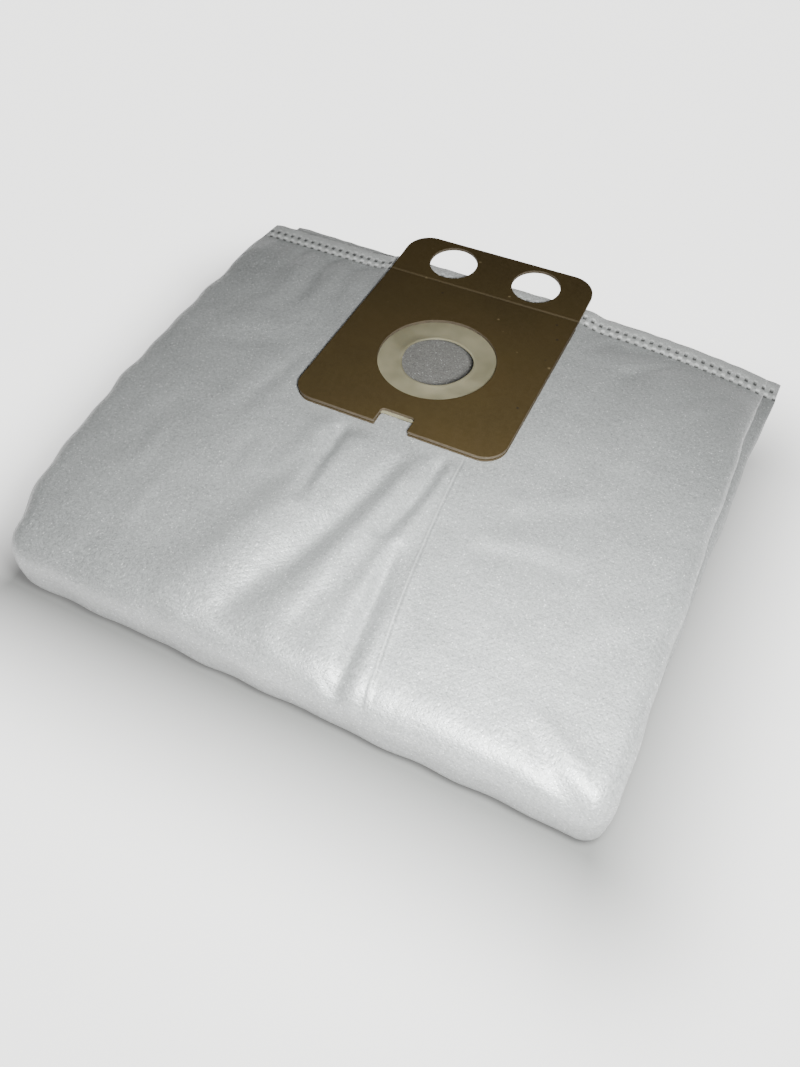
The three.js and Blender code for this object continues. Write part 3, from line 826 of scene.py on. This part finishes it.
class Nodes:
    """Short calls for building a material's node tree."""

    def __init__(self, name):
        self.material = bpy.data.materials.new(name)
        self.material.use_nodes = True
        self.tree = self.material.node_tree
        self.shader = next(n for n in self.tree.nodes if n.type == "BSDF_PRINCIPLED")

    def add(self, kind, inputs=(), **settings):
        node = self.tree.nodes.new(kind)
        for name, value in settings.items():
            setattr(node, name, value)
        for name, value in dict(inputs).items():
            self.set(node.inputs[name], value)
        return node

    def set(self, socket, value):
        if isinstance(value, bpy.types.NodeSocket):
            self.tree.links.new(value, socket)
        else:
            socket.default_value = value

    def shade(self, **values):
        for name, value in values.items():
            self.set(self.shader.inputs[name.replace("_", " ")], value)

    def math(self, operation, a, b=0.0, c=0.0):
        return self.add("ShaderNodeMath", {0: a, 1: b, 2: c}, operation=operation).outputs[0]

    def times(self, first, *others):
        for value in others:
            first = self.math("MULTIPLY", first, value)
        return first

    def noise(self, coordinates, scale, detail=2.0, roughness=0.5):
        inputs = {"Vector": coordinates, "Scale": scale, "Detail": detail, "Roughness": roughness}
        return self.add("ShaderNodeTexNoise", inputs).outputs["Fac"]

    def cells(self, coordinates, scale):
        """Distance to each cell's middle, and two random values of the cell."""
        made = self.add("ShaderNodeTexVoronoi", {"Vector": coordinates, "Scale": scale})
        random = self.add("ShaderNodeSeparateColor", {0: made.outputs["Color"]}).outputs
        return made.outputs["Distance"], random[0], random[1]

    def remap(self, value, low, high, to_low=0.0, to_high=1.0):
        inputs = {"Value": value, "From Min": low, "From Max": high}
        inputs |= {"To Min": to_low, "To Max": to_high}
        return self.add("ShaderNodeMapRange", inputs).outputs["Result"]

    def bell(self, value, centre, width):
        """1 at the centre, falling smoothly to 0 at a width away."""
        away = self.math("ABSOLUTE", self.math("SUBTRACT", value, centre))
        inputs = {"Value": away, "From Min": width, "From Max": 0.0}
        made = self.add("ShaderNodeMapRange", inputs, interpolation_type="SMOOTHSTEP")
        return made.outputs["Result"]

    def blend(self, share, a, b):
        made = self.add("ShaderNodeMix", data_type="RGBA")
        self.set(made.inputs[0], share)
        self.set(made.inputs[6], a)
        self.set(made.inputs[7], b)
        return made.outputs[2]

    def bump(self, height, distance, strength=1.0, under=None):
        inputs = {"Height": height, "Distance": distance, "Strength": strength}
        if under is not None:
            inputs["Normal"] = under
        return self.add("ShaderNodeBump", inputs).outputs["Normal"]


def grey(value, warmth=0.0):
    return (value * (1 + warmth), value, value * (1 - warmth), 1)


# Pitch of the fleece's bonds
BOND_PITCH = 2.6


def fleece_material():
    """Nonwoven fleece: silver-white, point-bonded in a fine lattice, with painted glints on its
    fibres, and a welded seam of clear dimples between white pads, with painted highlights on the
    lips and painted shadow in the grooves; the crease line has a painted highlight and shadow."""
    n = Nodes("nonwoven_fleece")
    place = n.add("ShaderNodeTexCoord").outputs["Object"]
    cloth = n.add("ShaderNodeUVMap", uv_map="cloth").outputs[0]
    u, v, _ = n.add("ShaderNodeSeparateXYZ", {0: cloth}).outputs

    # Lattice of bonds, slanting both ways
    lattice = 2 * math.pi / (BOND_PITCH * MM)
    slant_up = n.math("COSINE", n.times(n.math("ADD", u, v), lattice))
    slant_down = n.math("COSINE", n.times(n.math("SUBTRACT", u, v), lattice))
    bonds = n.remap(n.math("ADD", slant_up, slant_down), 0.7, 1.7)

    # Fibres, cloudy patches and painted glints, small white dots standing in for light on fibres
    fibres = n.noise(cloth, 1500, 3, 0.7)
    blotches = n.noise(cloth, 640, 3, 0.6)
    patches = n.noise(place, 36, 4, 0.6)
    distance, picked, strength = n.cells(cloth, 1050)
    painted_glint = n.times(n.remap(picked, 0.72, 0.78), n.remap(distance, 0.42, 0.14), strength)

    coarse = n.math("ADD", n.times(blotches, 0.35), n.times(patches, 0.15))
    tone = n.math("ADD", n.times(fibres, 0.5), coarse)
    body = n.blend(n.remap(tone, 0.36, 0.64), grey(0.25, -0.012), grey(0.55, -0.012))
    body = n.blend(n.times(bonds, 0.14), body, grey(0.27, -0.03))
    body = n.blend(n.times(painted_glint, 0.8), body, grey(0.95))

    # The weld's rows, by the distance to the nearer free edge: white pads, painted highlights on
    # the lips, clear dark dimples and painted shadow in the grooves
    to_edge = n.math("MINIMUM", v, n.math("SUBTRACT", CLOTH_LENGTH * MM, v))
    beat = n.math("COSINE", n.times(u, 2 * math.pi / (WELD_PITCH * MM)))
    at_dimple, between = n.remap(beat, 0.0, 0.5), n.remap(beat, 0.1, -0.45)
    band = n.remap(to_edge, (SEAM_BAND + 0.4) * MM, (SEAM_BAND - 0.2) * MM)
    # Painted highlight: white on the raised lips above the dimples, joined with the pads
    lips = n.times(n.bell(to_edge, LIP_ROW * MM, 0.0013), at_dimple, 0.8)
    pads = n.math("MAXIMUM", n.times(n.bell(to_edge, PAD_ROW * MM, 0.0019), between), lips)
    dimples = n.times(n.bell(to_edge, DIMPLE_ROW * MM, 0.002), at_dimple)
    # Painted shadow: near-black dashes in the grooves below the pads
    grooves = n.times(n.bell(to_edge, GROOVE_ROW * MM, 0.0013), between)
    band_colour = n.blend(n.remap(fibres, 0.3, 0.7), grey(0.50), grey(0.82))
    colour = n.blend(n.times(band, 0.9), body, band_colour)
    colour = n.blend(pads, colour, grey(0.95))
    colour = n.blend(n.times(dimples, 0.95), colour, grey(0.05))
    colour = n.blend(n.times(grooves, 0.95), colour, grey(0.05))

    # The crease line: a painted highlight left of it and a painted shadow right of it, faded at
    # both its ends
    run = n.remap(v, CREASE_FROM, CREASE_FROM + CREASE_RUN * MM)
    bend = n.times(n.math("MULTIPLY_ADD", run, CREASE_BEND, CREASE_LEAN), run)
    crease = n.times(n.math("ADD", bend, CREASE_START), MM)
    aside = n.math("SUBTRACT", u, crease)
    pressed = n.times(n.remap(run, 0.0, 0.03), n.remap(run, 0.97, 0.92))
    colour = n.blend(n.times(n.bell(aside, -0.0003, 0.0006), pressed, 0.45), colour, grey(0.7))
    colour = n.blend(n.times(n.bell(aside, 0.0006, 0.0007), pressed, 0.45), colour, grey(0.14))

    height = n.math("ADD", n.math("ADD", fibres, blotches), n.times(bonds, -0.4))
    soft = n.bump(n.noise(place, 110, 4, 0.6), 0.0012, 0.5)
    n.shade(
        Base_Color=colour,
        Roughness=n.remap(n.math("ADD", fibres, n.times(bonds, -0.3)), 0.2, 0.8, 0.42, 0.6),
        Specular_IOR_Level=1.0,
        Metallic=0.35,
        Sheen_Weight=0.12,
        Sheen_Roughness=0.4,
        Normal=n.bump(height, 0.00011, 0.9, soft),
    )
    return n.material


def inner_fleece_material():
    """The bag's innermost layer: a fluffier felt, darker than the outer fleece, the darkness partly
    painted shade of the room inside, with more painted glints.
    """
    n = Nodes("inner_felt")
    place = n.add("ShaderNodeTexCoord").outputs["Object"]
    fibres = n.noise(place, 1300, 4, 0.75)
    # Painted glints: small pale dots standing in for light glinting on fibres
    distance, picked, strength = n.cells(place, 1250)
    painted_glint = n.times(n.remap(picked, 0.78, 0.84), n.remap(distance, 0.42, 0.12), strength)
    # Dark greys, partly painted shade of the room inside the bag
    body = n.blend(n.remap(fibres, 0.36, 0.64), grey(0.09, 0.04), grey(0.175, 0.04))
    n.shade(
        Base_Color=n.blend(n.times(painted_glint, 0.6), body, grey(0.8)),
        Roughness=0.6,
        Specular_IOR_Level=0.4,
        Normal=n.bump(fibres, 0.0004, 0.9),
    )
    return n.material


def card_material():
    """Brown pulp board: darker flat faces, paler cut edges, small specks."""
    n = Nodes("brown_board")
    place = n.add("ShaderNodeTexCoord").outputs["Object"]
    broad = n.noise(place, 22, 3, 0.55)
    grain = n.noise(place, 520, 4, 0.7)
    face = n.blend(n.remap(broad, 0.3, 0.7), (0.032, 0.0200, 0.0045, 1), (0.042, 0.0265, 0.0062, 1))
    face = n.blend(n.times(n.remap(grain, 0.38, 0.72), 0.4), face, (0.056, 0.0375, 0.0135, 1))
    distance, dark_pick, pale_pick = n.cells(place, 260)
    dot = n.remap(distance, 0.24, 0.1)
    dark, pale = n.remap(dark_pick, 0.94, 0.95), n.remap(pale_pick, 0.97, 0.98)
    face = n.blend(n.times(dark, dot, 0.75), face, (0.012, 0.008, 0.005, 1))
    face = n.blend(n.times(pale, dot, 0.5), face, (0.20, 0.15, 0.08, 1))
    normal = n.add("ShaderNodeNewGeometry").outputs["True Normal"]
    inputs = {0: normal, 1: tuple(CARD_NORMAL)}
    level = n.add("ShaderNodeVectorMath", inputs, operation="DOT_PRODUCT").outputs["Value"]
    edge = n.remap(n.math("ABSOLUTE", level), 0.88, 0.5)
    cut_edge = n.blend(n.remap(grain, 0.3, 0.7), (0.066, 0.051, 0.035, 1), (0.10, 0.078, 0.055, 1))
    n.shade(
        Base_Color=n.blend(edge, face, cut_edge),
        Roughness=n.remap(grain, 0.3, 0.7, 0.68, 0.82),
        Specular_IOR_Level=0.3,
        Normal=n.bump(grain, 0.00008, 0.8, n.bump(broad, 0.0005, 0.35)),
    )
    return n.material


def membrane_material():
    """Cream-khaki rubber sheet, slightly mottled, with a soft gloss."""
    n = Nodes("cream_rubber")
    place = n.add("ShaderNodeTexCoord").outputs["Object"]
    mottled = n.remap(n.noise(place, 60, 2, 0.5), 0.35, 0.65)
    n.shade(
        Base_Color=n.blend(mottled, (0.155, 0.140, 0.090, 1), (0.235, 0.212, 0.142, 1)),
        Roughness=n.remap(n.noise(place, 300, 3, 0.6), 0.3, 0.7, 0.34, 0.46),
        Specular_IOR_Level=0.5,
        Subsurface_Weight=0.1,
        Subsurface_Radius=(0.002, 0.0015, 0.001),
        Subsurface_Scale=1.0,
        Normal=n.bump(n.noise(place, 800, 3, 0.6), 0.00003, 0.6),
    )
    return n.material


# Floor: its glow far from the bag and in the painted contact shadow at the bag, the width over
# which that painted shadow fades, and the rectangle under the bag from which it is measured, as
# centre and half size
FLOOR_GLOW = 2.8
FLOOR_GLOW_IN_PAINTED_SHADOW = 0.2
FLOOR_PAINTED_SHADOW_WIDTH = 0.06
BAG_ON_FLOOR = ((0.0, -0.035), (0.132, 0.098))
FLOOR_HALF_SIZE = 3


def floor_material():
    """A pale glowing table with a painted contact shadow: it glows less round where the bag lies.
    """
    n = Nodes("pale_floor")
    place = n.add("ShaderNodeTexCoord").outputs["Object"]
    x, y, _ = n.add("ShaderNodeSeparateXYZ", {0: place}).outputs
    centre, half = BAG_ON_FLOOR
    away = []
    for value, middle, reach in zip((x, y), centre, half):
        beside = n.math("SUBTRACT", n.math("ABSOLUTE", n.math("SUBTRACT", value, middle)), reach)
        away.append(n.math("MAXIMUM", beside, 0.0))
    distance = n.math("SQRT", n.math("ADD", n.times(away[0], away[0]), n.times(away[1], away[1])))
    # Painted contact shadow: the glow is dimmed near the bag
    clear = n.math("SMOOTH_MIN", n.math("DIVIDE", distance, FLOOR_PAINTED_SHADOW_WIDTH), 1.0, 0.5)
    n.shade(
        Base_Color=(0.14, 0.14, 0.138, 1),
        Roughness=0.8,
        Specular_IOR_Level=0.2,
        Emission_Color=(1, 1, 0.985, 1),
        Emission_Strength=n.remap(clear, 0.0, 1.0, FLOOR_GLOW_IN_PAINTED_SHADOW, FLOOR_GLOW),
    )
    return n.material


# Camera: the photograph's place and lens, solved from the collar card
CAMERA_AT = (0.1118, -0.2181, 0.3083)
CAMERA_AIM = (0.0197, -0.0528, 0.0251)
CAMERA_ROLL = math.radians(-3.6)
CAMERA_LENS = 28.0
CAMERA_SENSOR = 36.0
CAMERA_CLIP_START = 0.01

# Light: a small lamp beside the camera, as the photograph's flash, and a soft fill behind
KEY_AT = (0.13, -0.165, 0.25)
KEY_AIM = (0.03, -0.07, 0.03)
KEY_SIZE = (0.06, 0.06)
KEY_SPREAD = math.radians(140)
KEY_POWER = 1.97
KEY_COLOUR = (0.965, 1.0, 0.97)
FILL_AT = (-0.5, 0.5, 0.9)
FILL_SIZE = (0.8, 0.8)
FILL_POWER = 0.4
WORLD_STRENGTH = 0.05


def place_camera():
    camera = bpy.data.objects.new("camera", bpy.data.cameras.new("camera"))
    bpy.context.scene.collection.objects.link(camera)
    camera.data.lens = CAMERA_LENS
    camera.data.sensor_width = CAMERA_SENSOR
    camera.data.clip_start = CAMERA_CLIP_START
    look = Vector(CAMERA_AIM) - Vector(CAMERA_AT)
    turn = look.to_track_quat("-Z", "Y").to_matrix().to_4x4() @ Matrix.Rotation(CAMERA_ROLL, 4, "Z")
    camera.matrix_world = Matrix.Translation(CAMERA_AT) @ turn
    bpy.context.scene.camera = camera


def area_light(name, at, aim, size, power, spread=math.pi, colour=(1, 1, 1)):
    data = bpy.data.lights.new(name, "AREA")
    data.shape = "RECTANGLE"
    data.color = colour
    data.spread = spread
    data.size, data.size_y = size
    data.energy = power
    lamp = bpy.data.objects.new(name, data)
    look = Vector(aim) - Vector(at)
    lamp.matrix_world = Matrix.Translation(at) @ look.to_track_quat("-Z", "Y").to_matrix().to_4x4()
    bpy.context.scene.collection.objects.link(lamp)


def studio():
    area_light("key", KEY_AT, KEY_AIM, KEY_SIZE, KEY_POWER, KEY_SPREAD, KEY_COLOUR)
    area_light("fill", FILL_AT, (0, 0, 0), FILL_SIZE, FILL_POWER)
    world = bpy.data.worlds.new("soft_world")
    world.use_nodes = True
    background = world.node_tree.nodes["Background"]
    background.inputs["Color"].default_value = (1, 1, 1, 1)
    background.inputs["Strength"].default_value = WORLD_STRENGTH
    bpy.context.scene.world = world
    half = FLOOR_HALF_SIZE
    corners = [(-half, -half, 0), (half, -half, 0), (half, half, 0), (-half, half, 0)]
    floor = new_object("floor", corners, [(0, 1, 2, 3)])
    floor.data.materials.append(floor_material())


def place_piece(piece, node, slot, *materials):
    """Puts a piece in the frame in place of its CAD node."""
    for material in materials:
        piece.data.materials.append(material)
    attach(piece, "root")
    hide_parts(node)


place_camera()

# The cut leaves each face its material's number, so the bag has its materials before it
bag = fleece_bag()
bag.data.materials.append(fleece_material())
bag.data.materials.append(inner_fleece_material())
hole = {"radius": FLEECE_HOLE / 2 * MM, "length": FLEECE_CUT * MM, "steps": FLEECE_HOLE_STEPS}
cut(bag, cylinder("inlet_cutter", INLET_ON_FLEECE, **hole))
smooth(bag)
place_piece(bag, "fleece_bag", "fleece")

membrane = sealing_membrane()
smooth(membrane)
place_piece(membrane, "sealing_membrane", "membrane", membrane_material())

brown = card_material()
place_piece(front_card(), "collar_front_card", "collar_card", brown)
place_piece(rear_card(), "collar_rear_card", "collar_card", brown)

studio()
